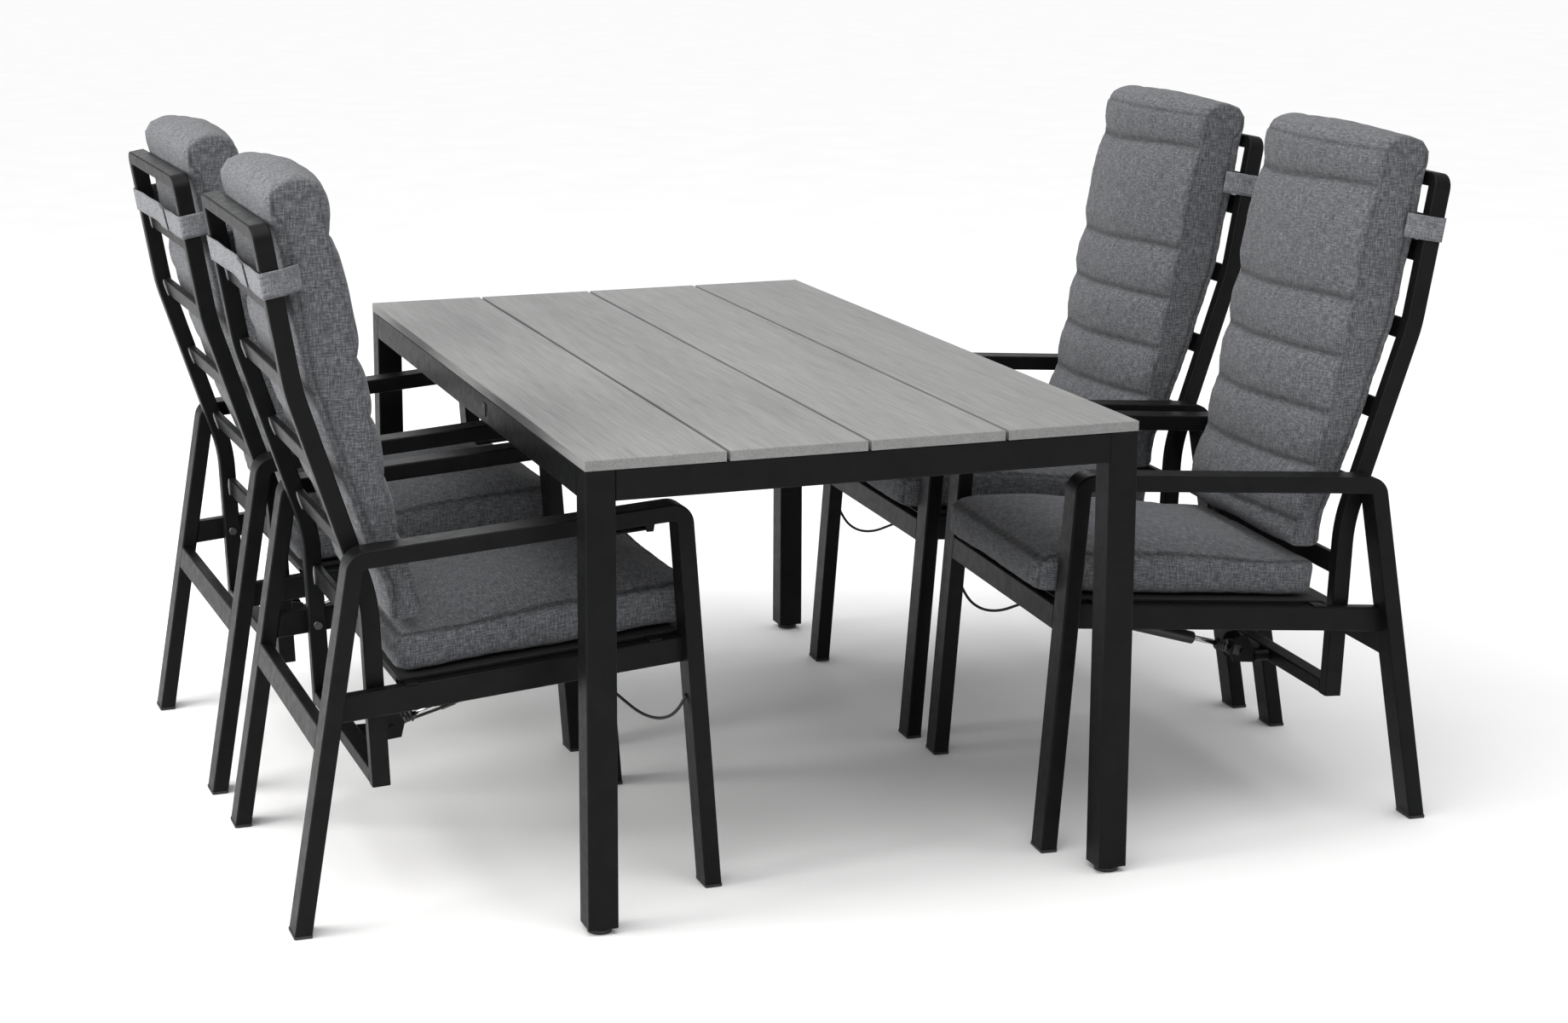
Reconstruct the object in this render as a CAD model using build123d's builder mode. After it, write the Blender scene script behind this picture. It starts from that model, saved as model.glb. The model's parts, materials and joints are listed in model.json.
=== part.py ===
from build123d import *
from math import atan2, cos, degrees, radians, sin, tan
import os

# Patio dining set: a slatted table and four reclining armchairs. Millimetres, +Z up, origin on the
# floor under the middle of the whole set. X runs across the table and Y along it.

# ---- table ----
table_centre_x = -79.8
table_width = 900.0
table_length = 1500.0
table_height = 740.0
plank_count = 4
plank_gap = 6.0
plank_thickness = 16.0
leg_size = 48.0
apron_height = 48.0
apron_depth = 25.0
bearer_size = 25.0
bearer_rows = (-375.0, 0.0, 375.0)
table_wall = 2.0
foot_height = 10.0
foot_radius = 19.0
foot_stem_radius = 5.0
plug_depth = 14.0
screw_radius = 2.0
screw_bite = 11.0
screw_head_radius = 4.0
screw_head_height = 2.5
corner_bolt_radius = 4.0
bracket_thickness = 4.0
bracket_height = 36.0
bracket_reach = 62.0
badge_size = 22.0
badge_along = -150.0

# ---- chair, in its own frame: +X is where the sitter looks, origin on the floor ----
chair_tube = 27.5
chair_tube_width = 46.0
chair_half_width = 275.0
chair_wall = 2.0
edge_radius = 3.0
rear_foot_x = -345.0
front_foot_x = 345.0
rear_arm_corner = (-247.0, 595.0)
front_arm_corner = (297.0, 632.0)
arm_bend_radius = 20.0
cap_height = 5.0
cap_overhang = 0.6
seat_pitch = 4.57
rail_top_at_origin = 387.6
rail_height = 41.0
rail_width = 22.0
crossbar_thickness = 22.0
rear_crossbar_span = (281.0, 320.0)
front_crossbar_span = (366.0, 407.0)

pivot = (-199.0, 350.0)
pivot_bolt_radius = 4.0
running_gap = 0.05
back_tube_depth = 29.0
back_tube_width = 24.0
back_half_width = 226.0
back_outline = ((-193.0, 211.0), (-205.8, 509.0), (-312.8, 836.0), (-346.3, 1031.0))
back_bend_radius = 260.0
top_corner_radius = 14.0
top_rail_rise = 45.0
slat_heights = (436.5, 566.5, 695.5, 827.5, 957.5)
slat_width = 35.0
slat_thickness = 12.0
slat_forward = 7.0

spring_rear = (-128.0, 234.0)
spring_front = (235.0, 340.0)
spring_pin_radius = 4.0
open_pivot_gap = 2.2
head_back = 14.0
head_front = 20.0
head_width = 26.0
head_height = 24.0
collar_front = 42.0
collar_radius = 11.0
cylinder_start = 88.0
cylinder_radius = 11.0
rod_radius = 4.0
rod_inside = 60.0
bore_extra = 50.0
clevis_inner = 15.0
clevis_thickness = 5.0

seat_tube_height = 13.0
seat_tube_width = 24.0
seat_tube_y = 214.0
seat_tube_proud = 3.0
seat_span = (-163.0, 288.0)
seat_tab_places = (-148.0, 245.0)
seat_tab_length = 20.0
sling_thickness = 2.0
seat_cushion_span = (-168.0, 350.0)
seat_cushion_half_width = 225.0
seat_cushion_thickness = 66.0
back_cushion_half_width = 208.0
strap_height = 40.0
strap_thickness = 1.5
strap_centre_height = 998.0

lever_span = (150.0, 236.0)
lever_width = 30.0
lever_thickness = 4.0
lever_gap = 5.0

cable_radius = 2.5
cable_route = [
    (292.6, -252.0, 315.0),
    (283.0, -245.0, 287.0),
    (262.0, -224.0, 269.0),
    (237.0, -196.0, 272.0),
    (214.0, -163.0, 292.0),
    (190.0, -124.0, 314.0),
    (160.0, -85.0, 328.0),
    (121.0, -52.0, 325.0),
    (77.0, -30.0, 303.0),
    (26.0, -21.0, 281.0),
    (-32.0, -19.0, 261.0),
    (-91.0, -17.5, 245.0),
]

# name: place of the chair's origin from the table's centre, and its heading in degrees
chairs = {
    "left_near": (-539.0, -346.0, 1.05),
    "left_far": (-568.0, 343.0, 2.67),
    "right_near": (717.0, -384.0, 176.43),
    "right_far": (730.0, 228.0, 178.10),
}

os.makedirs("parts", exist_ok=True)


# ---- shared shapes ----
def tube_run(start, end, across, width, depth, wall=chair_wall):
    """A straight hollow tube from start to end."""
    way = Vector(*end) - Vector(*start)
    with BuildPart() as run:
        with BuildSketch(Plane(origin=start, x_dir=across, z_dir=way)):
            RectangleRounded(width, depth, edge_radius)
            RectangleRounded(width - 2 * wall, depth - 2 * wall, edge_radius / 3, mode=Mode.SUBTRACT)
        extrude(amount=way.length)
    return run.part


def tube_bend(start, way, centre, turn_axis, turn, across, width, depth, wall=chair_wall):
    """The bend that follows a straight tube."""
    with BuildPart() as bend:
        with BuildSketch(Plane(origin=start, x_dir=across, z_dir=way)):
            RectangleRounded(width, depth, edge_radius)
            RectangleRounded(width - 2 * wall, depth - 2 * wall, edge_radius / 3, mode=Mode.SUBTRACT)
        revolve(axis=Axis(centre, turn_axis), revolution_arc=turn)
    return bend.part


def bent_tube(points, radius, across, width, depth):
    """A tube with straight runs and round bends along its centre line, one solid for each."""
    corners = [Vector(*point) for point in points]
    pieces = []
    start = corners[0]
    for before, corner, after in zip(corners, corners[1:], corners[2:]):
        way_in = (corner - before).normalized()
        way_out = (after - corner).normalized()
        turn = way_in.get_angle(way_out)
        reach = radius * tan(radians(turn) / 2)
        turn_axis = way_in.cross(way_out).normalized()
        bend_start = corner - way_in * reach
        centre = bend_start + turn_axis.cross(way_in) * radius
        pieces.append(tube_run(start, bend_start, across, width, depth))
        pieces.append(tube_bend(bend_start, way_in, centre, turn_axis, turn, across, width, depth))
        start = corner + way_out * reach
    pieces.append(tube_run(start, corners[-1], across, width, depth))
    return pieces


def inset(outline, distance):
    """The outline's corners moved inwards, to the right of its way, by distance."""
    lines = []
    for (x0, z0), (x1, z1) in zip(outline, outline[1:]):
        way = Vector(x1 - x0, z1 - z0).normalized()
        side = Vector(way.Y, -way.X) * distance
        lines.append((Vector(x0, z0) + side, way))
    corners = [lines[0][0]]
    for (p, u), (q, v) in zip(lines, lines[1:]):
        along = ((q - p).X * v.Y - (q - p).Y * v.X) / (u.X * v.Y - u.Y * v.X)
        corners.append(p + u * along)
    last_start, last_way = lines[-1]
    corners.append(last_start + last_way * Vector(*outline[-1]).sub(Vector(*outline[-2])).length)
    return [(corner.X, corner.Y) for corner in corners]


def trimmed(part, plane):
    """What is left of a part on the plane's positive side."""
    with BuildPart() as kept:
        add(part)
        split(bisect_by=plane, keep=Keep.TOP)
    return kept.part


def drilled(part, centre, axis, radius, length):
    """A part with a round hole through it, centred on a point."""
    with BuildPart() as result:
        add(part)
        with BuildSketch(Plane(origin=Vector(*centre) - Vector(*axis).normalized() * length / 2, z_dir=axis)):
            Circle(radius)
        extrude(amount=length, mode=Mode.SUBTRACT)
    return result.part


def side_plate(outline, y_from, y_to):
    """A flat plate with an outline in X and Z, between two values of Y."""
    with BuildPart() as plate:
        with BuildSketch(Plane.XZ.offset(-y_from)):
            Polygon(*outline, align=None)
        extrude(amount=-(y_to - y_from))
    return plate.part


def cross_pin(x, z, y_from, y_to, radius):
    """A round pin along Y."""
    with BuildPart() as pin:
        with BuildSketch(Plane.XZ.offset(-y_from)):
            with Locations((x, z)):
                Circle(radius)
        extrude(amount=-(y_to - y_from))
    return pin.part


def joined(*parts):
    """Parts that are welded into one solid."""
    with BuildPart() as whole:
        for part in parts:
            add(part)
    return whole.part


def group(pieces):
    """Separate solids that share one node."""
    return Compound(children=[solid for piece in pieces for solid in piece.solids()])


def rail_top(x):
    """Height of the side rail's top edge, which the seat follows."""
    return rail_top_at_origin + x * tan(radians(seat_pitch))


# ---- chair frame ----
tube_side = Vector(0, 1, 0)
leg_inner_y = chair_half_width - chair_tube_width
side_centre_y = chair_half_width - chair_tube_width / 2
frame_outline = ((rear_foot_x, 0), rear_arm_corner, front_arm_corner, (front_foot_x, 0))
frame_centre = inset(frame_outline, chair_tube / 2)
rear_way = Vector(rear_arm_corner[0] - rear_foot_x, rear_arm_corner[1]).normalized()
front_way = Vector(front_arm_corner[0] - front_foot_x, front_arm_corner[1]).normalized()


def rear_leg_x(z, inwards=0.0):
    """X of the rear leg's rear face, or of a line that far inside it, at height z."""
    return rear_foot_x + inwards / rear_way.Y + z * rear_way.X / rear_way.Y


def front_leg_x(z, inwards=0.0):
    """X of the front leg's front face, or of a line that far inside it, at height z."""
    return front_foot_x - inwards / front_way.Y + z * front_way.X / front_way.Y


def side_frame(side):
    """The bent tube of one side: rear leg, arm and front leg."""
    foot_drop = 10.0
    first = (frame_centre[0][0] - foot_drop * rear_way.X, -foot_drop)
    last = (frame_centre[-1][0] - foot_drop * front_way.X, -foot_drop)
    points = [first, *frame_centre[1:-1], last]
    line = [(x, side * side_centre_y, z) for x, z in points]
    pieces = bent_tube(line, arm_bend_radius, tube_side, chair_tube_width, chair_tube)
    floor_cut = Plane.XY.offset(cap_height)
    pieces[0] = trimmed(pieces[0], floor_cut)
    pieces[-1] = trimmed(pieces[-1], floor_cut)
    return pieces


def side_rail(side):
    """The rail of one side, cut to the slant of the legs it is welded to."""
    y = side * (leg_inner_y + rail_width / 2)
    middle = rail_top_at_origin - rail_height / 2 / cos(radians(seat_pitch))
    slope = tan(radians(seat_pitch))
    rail = tube_run((-330, y, middle - 330 * slope), (340, y, middle + 340 * slope), tube_side,
                    rail_width, rail_height)
    rear_cut = Plane(origin=(rear_leg_x(0, chair_tube), 0, 0), z_dir=(rear_way.Y, 0, -rear_way.X))
    front_cut = Plane(origin=(front_leg_x(0, chair_tube), 0, 0), z_dir=(-front_way.Y, 0, front_way.X))
    rail = trimmed(trimmed(rail, rear_cut), front_cut)
    inner_wall = side * (leg_inner_y + chair_wall / 2)
    return drilled(rail, (pivot[0], inner_wall, pivot[1]), (0, 1, 0), pivot_bolt_radius, 3 * chair_wall)


def crossbar(low_x, low_z, high_x, high_z, inwards):
    """A bar between the legs of both sides, its outer face between two points."""
    middle = Vector((low_x + high_x) / 2, 0, (low_z + high_z) / 2)
    up = Vector(high_x - low_x, 0, high_z - low_z)
    centre = middle + Vector(*inwards).normalized() * crossbar_thickness / 2
    start = centre - tube_side * leg_inner_y
    end = centre + tube_side * leg_inner_y
    return tube_run(start, end, up.normalized(), up.length, crossbar_thickness)


rear_bar = crossbar(rear_leg_x(rear_crossbar_span[0]), rear_crossbar_span[0],
                    rear_leg_x(rear_crossbar_span[1]), rear_crossbar_span[1], (rear_way.Y, 0, -rear_way.X))
front_bar = crossbar(front_leg_x(front_crossbar_span[0]), front_crossbar_span[0],
                     front_leg_x(front_crossbar_span[1]), front_crossbar_span[1],
                     (-front_way.Y, 0, front_way.X))
anchor_bar_size = 25.0
anchor_bar_z = spring_front[1] + 38.5
anchor_bar = tube_run((spring_front[0], -leg_inner_y, anchor_bar_z), (spring_front[0], leg_inner_y, anchor_bar_z),
                      (1, 0, 0), anchor_bar_size, anchor_bar_size)

anchor_eye_half = 6.0
anchor_plate_thickness = 5.0
anchor_parts = []
for side in (-1, 1):
    y_inner = side * (anchor_eye_half + 1)
    y_outer = y_inner + side * anchor_plate_thickness
    ear = ((-11, 26.0), (-8, -6), (0, -10), (8, -6), (11, 26.0))
    outline = [(spring_front[0] + x, spring_front[1] + z) for x, z in ear]
    plate = side_plate(outline, min(y_inner, y_outer), max(y_inner, y_outer))
    anchor_parts.append(plate)
anchor_pin_half = anchor_eye_half + 1 + anchor_plate_thickness + 3
anchor_pin = cross_pin(*spring_front, -anchor_pin_half, anchor_pin_half, spring_pin_radius)
anchor_bracket = joined(*anchor_parts, anchor_pin)

lever_pivot_x = lever_span[1] - 8
arm_slope = (front_arm_corner[1] - rear_arm_corner[1]) / (front_arm_corner[0] - rear_arm_corner[0])


def arm_under(x):
    """Height of the underside of the arm."""
    return rear_arm_corner[1] + (x - rear_arm_corner[0]) * arm_slope - chair_tube / cos(atan2(arm_slope, 1))


lever_pivot_z = arm_under(lever_pivot_x) - lever_gap - lever_thickness / 2
lever_y = -side_centre_y
lever_pin_radius = 1.4
lever_cheek_gap = 0.5
lever_cheeks = []
for side in (-1, 1):
    y_inner = lever_y + side * (lever_width / 2 + lever_cheek_gap)
    y_outer = y_inner + side * 3
    under = [(lever_pivot_x - 7, arm_under(lever_pivot_x - 7)), (lever_pivot_x + 8, arm_under(lever_pivot_x + 8)),
             (lever_pivot_x + 6, lever_pivot_z - 4), (lever_pivot_x - 5, lever_pivot_z - 4)]
    lever_cheeks.append(side_plate(under, min(y_inner, y_outer), max(y_inner, y_outer)))
lever_pin = cross_pin(lever_pivot_x, lever_pivot_z, lever_y - lever_width / 2 - 4, lever_y + lever_width / 2 + 4,
                      lever_pin_radius)
lever_bracket = joined(*lever_cheeks, lever_pin)

right_side = side_frame(-1)
cable_start = Vector(*cable_route[0])
leg_normal = Vector(-front_way.Y, 0, front_way.X)
right_side[-1] = drilled(right_side[-1], (cable_start + leg_normal * -2), leg_normal, 4.0, 8.0)
chair_frame = group([*right_side, *side_frame(1), side_rail(-1), side_rail(1), rear_bar, front_bar, anchor_bar,
                     anchor_bracket, lever_bracket])

# ---- foot caps ----
caps = []
for side in (-1, 1):
    for x_from, x_to in ((rear_leg_x(0), rear_leg_x(0, chair_tube)), (front_leg_x(0, chair_tube), front_leg_x(0))):
        with BuildPart() as cap:
            with BuildSketch():
                with Locations(((x_from + x_to) / 2, side * side_centre_y)):
                    RectangleRounded(x_to - x_from + 2 * cap_overhang, chair_tube_width + 2 * cap_overhang, edge_radius)
            extrude(amount=cap_height)
            chamfer(cap.faces().sort_by(Axis.Z)[0].edges(), 0.8)
        caps.append(cap.part)
foot_caps = group(caps)

# ---- seat: tube frame, sling and cushion ----
seat_up = Vector(-sin(radians(seat_pitch)), 0, cos(radians(seat_pitch)))
seat_along = Vector(cos(radians(seat_pitch)), 0, sin(radians(seat_pitch)))
seat_origin = Vector(0, 0, rail_top_at_origin)
seat_tube_middle = seat_tube_proud - seat_tube_height / 2


def on_seat(along, y, up):
    """A point given along the seat, across it and above the line of the rails' top edges."""
    return seat_origin + seat_along * along + seat_up * up + Vector(0, y, 0)


seat_tubes = []
for side in (-1, 1):
    seat_tubes.append(tube_run(on_seat(seat_span[0], side * seat_tube_y, seat_tube_middle),
                               on_seat(seat_span[1], side * seat_tube_y, seat_tube_middle),
                               tube_side, seat_tube_width, seat_tube_height, 1.5))
    for along in seat_tab_places:
        with BuildPart() as tab:
            with BuildSketch(Plane(origin=on_seat(along, side * back_half_width, 0), x_dir=seat_along, z_dir=seat_up)):
                with Locations((0, side * (rail_width + leg_inner_y - back_half_width) / 2)):
                    Rectangle(seat_tab_length, rail_width + leg_inner_y - back_half_width)
            extrude(amount=seat_tube_proud)
        seat_tubes.append(tab.part)
inner_y = seat_tube_y - seat_tube_width / 2
for along in (seat_span[0] + seat_tube_width / 2, seat_span[1] - seat_tube_width / 2):
    seat_tubes.append(tube_run(on_seat(along, -inner_y, seat_tube_middle), on_seat(along, inner_y, seat_tube_middle),
                               seat_along, seat_tube_width, seat_tube_height, 1.5))
seat_frame = group(seat_tubes)

seat_plane = Plane(origin=on_seat(0, 0, seat_tube_proud), x_dir=seat_along, z_dir=seat_up)
with BuildPart() as seat_sling:
    with BuildSketch(seat_plane):
        with Locations(((seat_span[0] + seat_span[1]) / 2, 0)):
            Rectangle(seat_span[1] - seat_span[0], 2 * back_half_width)
    extrude(amount=sling_thickness)

cushion_plane = Plane(origin=on_seat(0, 0, seat_tube_proud + sling_thickness + 0.5), x_dir=seat_along, z_dir=seat_up)
with BuildPart() as seat_cushion:
    with BuildSketch(cushion_plane):
        with Locations((sum(seat_cushion_span) / 2, 0)):
            RectangleRounded(seat_cushion_span[1] - seat_cushion_span[0], 2 * seat_cushion_half_width, 22)
    extrude(amount=seat_cushion_thickness)
    fillet(seat_cushion.faces().sort_by(Axis.Z)[-1].edges(), 10)

# ---- back frame ----
upright_y = back_half_width - back_tube_width / 2
upright_inner = back_half_width - back_tube_width


def back_line_x(z):
    """X of the back's centre line at height z, on its straight runs."""
    for (x0, z0), (x1, z1) in zip(back_outline, back_outline[1:]):
        if z <= z1 or (x1, z1) == back_outline[-1]:
            return x0 + (z - z0) * (x1 - x0) / (z1 - z0)


def back_way(z):
    """Unit vector up the back at height z."""
    step = 1.0
    return Vector(back_line_x(z + step) - back_line_x(z - step), 0, 2 * step).normalized()


def upright(side):
    """One S-shaped upright, with the hole for its pivot bolt."""
    line = [(x, side * upright_y, z) for x, z in back_outline]
    pieces = bent_tube(line, back_bend_radius, tube_side, back_tube_width, back_tube_depth)
    pieces[0] = drilled(pieces[0], (pivot[0], side * upright_y, pivot[1]), (0, 1, 0),
                        pivot_bolt_radius + running_gap, back_tube_width + 4)
    return pieces


top_way = Vector(back_outline[-1][0] - back_outline[-2][0], 0, back_outline[-1][1] - back_outline[-2][1]).normalized()
top_start = Vector(back_outline[-1][0], 0, back_outline[-1][1])
top_end = top_start + top_way * top_rail_rise
top_line = [top_start - tube_side * upright_y, top_end - tube_side * upright_y,
            top_end + tube_side * upright_y, top_start + tube_side * upright_y]
top_normal = top_way.cross(tube_side).normalized()
top_rail = bent_tube([point for point in top_line], top_corner_radius, top_normal,
                     back_tube_depth, back_tube_width)

slats = []
for height in slat_heights:
    way = back_way(height)
    forward = Vector(way.Z, 0, -way.X)
    centre = Vector(back_line_x(height), 0, height) + forward * slat_forward
    slats.append(tube_run((centre - tube_side * upright_inner), (centre + tube_side * upright_inner),
                          way, slat_width, slat_thickness, 1.5))

lower_bar_z = back_outline[0][1] + back_tube_width / 2
lower_bar_x = back_line_x(lower_bar_z)
lower_bar = tube_run((lower_bar_x, -upright_inner, lower_bar_z), (lower_bar_x, upright_inner, lower_bar_z),
                     (0, 0, 1), back_tube_width, back_tube_depth)

clevis_rear_x = spring_rear[0] - 24
clevis_outline = [(spring_rear[0] + x, spring_rear[1] + z)
                  for x, z in ((-24, -22), (-24, 2), (-8, 28), (12, 24), (22, 6), (16, -18))]
clevis_parts = []
for side in (-1, 1):
    y_inner = side * clevis_inner
    y_outer = side * (clevis_inner + clevis_thickness)
    clevis_parts.append(side_plate(clevis_outline, min(y_inner, y_outer), max(y_inner, y_outer)))
    stub_start = lower_bar_x + back_tube_depth / 2
    with BuildPart() as stub:
        with BuildSketch(Plane(origin=(stub_start, side * (clevis_inner + clevis_thickness / 2), lower_bar_z),
                               z_dir=(1, 0, 0))):
            Circle(9)
        extrude(amount=clevis_rear_x - stub_start)
    clevis_parts.append(stub.part)
clevis_pin_half = clevis_inner + clevis_thickness + 4
clevis_parts.append(cross_pin(*spring_rear, -clevis_pin_half, clevis_pin_half, spring_pin_radius))
clevis = joined(*clevis_parts)
back_frame = group([*upright(-1), *upright(1), *top_rail, *slats, lower_bar, clevis])

# ---- pivot bolts, each with its head, its washer and a nut inside the hollow rail ----
bolts = []
for side in (-1, 1):
    head_y = side * upright_inner
    nut_y = side * (leg_inner_y + chair_wall)
    with BuildPart() as bolt:
        with BuildSketch(Plane(origin=(pivot[0], head_y, pivot[1]), z_dir=(0, side, 0))):
            Circle(pivot_bolt_radius)
        extrude(amount=abs(nut_y - head_y) + 7)
        with BuildSketch(Plane(origin=(pivot[0], head_y - side * 0.3, pivot[1]), z_dir=(0, -side, 0))):
            Circle(8)
        extrude(amount=4)
        fillet(bolt.faces().sort_by(Axis.Y)[0 if side > 0 else -1].edges(), 2.5)
        with BuildSketch(Plane(origin=(pivot[0], head_y - side * 0.3, pivot[1]), z_dir=(0, side, 0))):
            Circle(pivot_bolt_radius)
        extrude(amount=0.4)
    with BuildPart() as washer:
        with BuildSketch(Plane(origin=(pivot[0], side * (back_half_width + 0.3), pivot[1]), z_dir=(0, side, 0))):
            Circle(9)
            Circle(pivot_bolt_radius, mode=Mode.SUBTRACT)
        extrude(amount=leg_inner_y - back_half_width - 0.3)
    with BuildPart() as nut:
        with BuildSketch(Plane(origin=(pivot[0], nut_y, pivot[1]), z_dir=(0, side, 0))):
            RegularPolygon(7, 6)
            Circle(pivot_bolt_radius, mode=Mode.SUBTRACT)
        extrude(amount=6)
    bolts += [bolt.part, washer.part, nut.part]
pivot_bolts = group(bolts)

# ---- gas spring ----
spring_vector = Vector(spring_front[0] - spring_rear[0], 0, spring_front[1] - spring_rear[1])
spring_way = spring_vector.normalized()
spring_rear_point = Vector(spring_rear[0], 0, spring_rear[1])
spring_length = spring_vector.length
eye_radius = 9.0


def spring_plane(along):
    """A plane across the gas spring, at a distance from its rear pivot."""
    return Plane(origin=spring_rear_point + spring_way * along, x_dir=(0, 1, 0), z_dir=spring_way)


with BuildPart() as gas_cylinder:
    with BuildSketch(spring_plane(cylinder_start)):
        Circle(cylinder_radius)
    extrude(amount=spring_length - eye_radius - 6 - cylinder_start)
    fillet(gas_cylinder.edges().filter_by(GeomType.CIRCLE), 2)
    with BuildSketch(spring_plane(cylinder_start)):
        Circle(rod_radius + running_gap)
    extrude(amount=rod_inside + bore_extra, mode=Mode.SUBTRACT)
    with BuildSketch(spring_plane(spring_length - eye_radius - 7)):
        Circle(5)
    extrude(amount=7)
    with BuildSketch(Plane.XZ.offset(-anchor_eye_half)):
        with Locations(spring_front):
            Circle(eye_radius)
    extrude(amount=2 * anchor_eye_half)
    with BuildSketch(Plane.XZ.offset(-anchor_eye_half)):
        with Locations(spring_front):
            Circle(spring_pin_radius + running_gap)
    extrude(amount=2 * anchor_eye_half, mode=Mode.SUBTRACT)

with BuildPart() as gas_rod:
    with BuildSketch(spring_plane(-head_back)):
        RectangleRounded(head_width, head_height, edge_radius)
    extrude(amount=head_back + head_front)
    with BuildSketch(spring_plane(head_front)):
        RegularPolygon(collar_radius, 6)
    extrude(amount=8)
    with BuildSketch(spring_plane(head_front + 8)):
        Circle(collar_radius - 2)
    extrude(amount=collar_front - head_front - 8)
    with BuildSketch(spring_plane(head_front + 16)):
        Circle(collar_radius)
    extrude(amount=4)
    with BuildSketch(spring_plane(collar_front)):
        Circle(rod_radius)
    extrude(amount=cylinder_start + rod_inside - collar_front)
    with BuildSketch(spring_plane(26)):
        with Locations((-15.5, 0)):
            Rectangle(17, 12)
    extrude(amount=12)
    with BuildSketch(Plane.XZ.offset(-head_width)):
        with Locations(spring_rear):
            Circle(spring_pin_radius + open_pivot_gap)
    extrude(amount=2 * head_width, mode=Mode.SUBTRACT)

# ---- release lever under the right arm ----
lever_slope = degrees(atan2(arm_slope, 1))
lever_plane = Plane(origin=(lever_pivot_x, lever_y, lever_pivot_z - lever_thickness / 2),
                    x_dir=Vector(cos(radians(lever_slope)), 0, sin(radians(lever_slope))),
                    z_dir=Vector(-sin(radians(lever_slope)), 0, cos(radians(lever_slope))))
lever_reach = lever_pivot_x - lever_span[0]
with BuildPart() as release_lever:
    with BuildSketch(lever_plane):
        with Locations((-lever_reach / 2 + 2, 0)):
            RectangleRounded(lever_reach + 4, lever_width, 5)
    extrude(amount=lever_thickness)
    fillet(release_lever.faces().sort_by(Axis.Z)[0].edges(), 1.2)
    with BuildSketch(Plane.XZ.offset(-lever_y + lever_width)):
        with Locations((lever_pivot_x, lever_pivot_z)):
            Circle(lever_pin_radius + running_gap)
    extrude(amount=-2 * lever_width, mode=Mode.SUBTRACT)

# ---- release cable ----
route = [Vector(*point) for point in cable_route]
radii = []
for before, corner, after in zip(route, route[1:], route[2:]):
    shorter = min((corner - before).length, (after - corner).length)
    half_turn = radians((corner - before).get_angle(after - corner)) / 2
    radii.append(0.45 * shorter / tan(half_turn))
print("cable bend radii", [round(radius) for radius in radii])
with BuildPart() as cable:
    with BuildLine() as cable_line:
        FilletPolyline(*cable_route, radius=radii)
    with BuildSketch(Plane(origin=cable_route[0], z_dir=route[1] - route[0])):
        Circle(cable_radius)
    sweep()
cable_length = cable_line.wires()[0].length
print("cable length", round(cable_length), "volume share",
      round(cable.part.volume / (cable_length * 3.14159 * cable_radius ** 2), 3))
release_cable = cable.part

# ---- back cushion and strap ----
cushion_rear = [(-178.0, 462.0), (-182.0, 520.0), (-214.0, 600.0), (-297.0, 850.0), (-333.0, 1080.0), (-330.0, 1128.0)]
cushion_front = [(-300.0, 1160.0), (-256.0, 1156.0), (-244.0, 1085.0), (-216.0, 992.0), (-206.0, 913.0),
                 (-191.0, 825.0), (-141.0, 576.0), (-100.0, 462.0), (-108.0, 455.0), (-170.0, 455.0)]
with BuildPart() as back_cushion:
    with BuildSketch(Plane.XZ.offset(-back_cushion_half_width)):
        Polygon(*cushion_rear, *cushion_front, align=None)
    extrude(amount=2 * back_cushion_half_width)
    fillet(back_cushion.edges().filter_by(Axis.Y).sort_by(Axis.X)[-1:], 2)

strap_way = back_way(strap_centre_height)
strap_forward = Vector(strap_way.Z, 0, -strap_way.X)
strap_centre = Vector(back_line_x(strap_centre_height), 0, strap_centre_height)
strap_plane = Plane(origin=strap_centre - strap_way * strap_height / 2, x_dir=strap_forward, z_dir=strap_way)
strap_rear = -back_tube_depth / 2 - 0.6
strap_side = back_half_width + 0.6
with BuildPart() as back_strap:
    with BuildSketch(strap_plane):
        with BuildLine():
            Polyline((48, -back_cushion_half_width - 2), (20, -strap_side), (strap_rear, -strap_side),
                     (strap_rear, strap_side), (20, strap_side), (48, back_cushion_half_width + 2))
            offset(amount=strap_thickness, side=Side.LEFT)
        make_face()
    extrude(amount=strap_height)

# ---- table ----
top_under = table_height - plank_thickness
plank_width = (table_width - (plank_count - 1) * plank_gap) / plank_count
plank_pitch = plank_width + plank_gap
plank_centres = [table_centre_x + (index - (plank_count - 1) / 2) * plank_pitch for index in range(plank_count)]
screw_spots = [(x + offset_x, y) for x in plank_centres for offset_x in (-70, 70) for y in bearer_rows]
leg_centres = [(table_centre_x + sx * (table_width - leg_size) / 2, sy * (table_length - leg_size) / 2)
               for sx in (-1, 1) for sy in (-1, 1)]

planks = []
for x in plank_centres:
    with BuildPart() as plank:
        with BuildSketch(Plane.XY.offset(top_under)):
            with Locations((x, 0)):
                Rectangle(plank_width, table_length)
        extrude(amount=plank_thickness)
        fillet(plank.faces().sort_by(Axis.Z)[-1].edges(), 1.5)
        with Locations(*[(sx, sy, top_under) for sx, sy in screw_spots if abs(sx - x) < plank_width / 2]):
            Cylinder(screw_radius, screw_bite, align=(Align.CENTER, Align.CENTER, Align.MIN), mode=Mode.SUBTRACT)
    planks.append(plank.part)
table_planks = group(planks)

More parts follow.
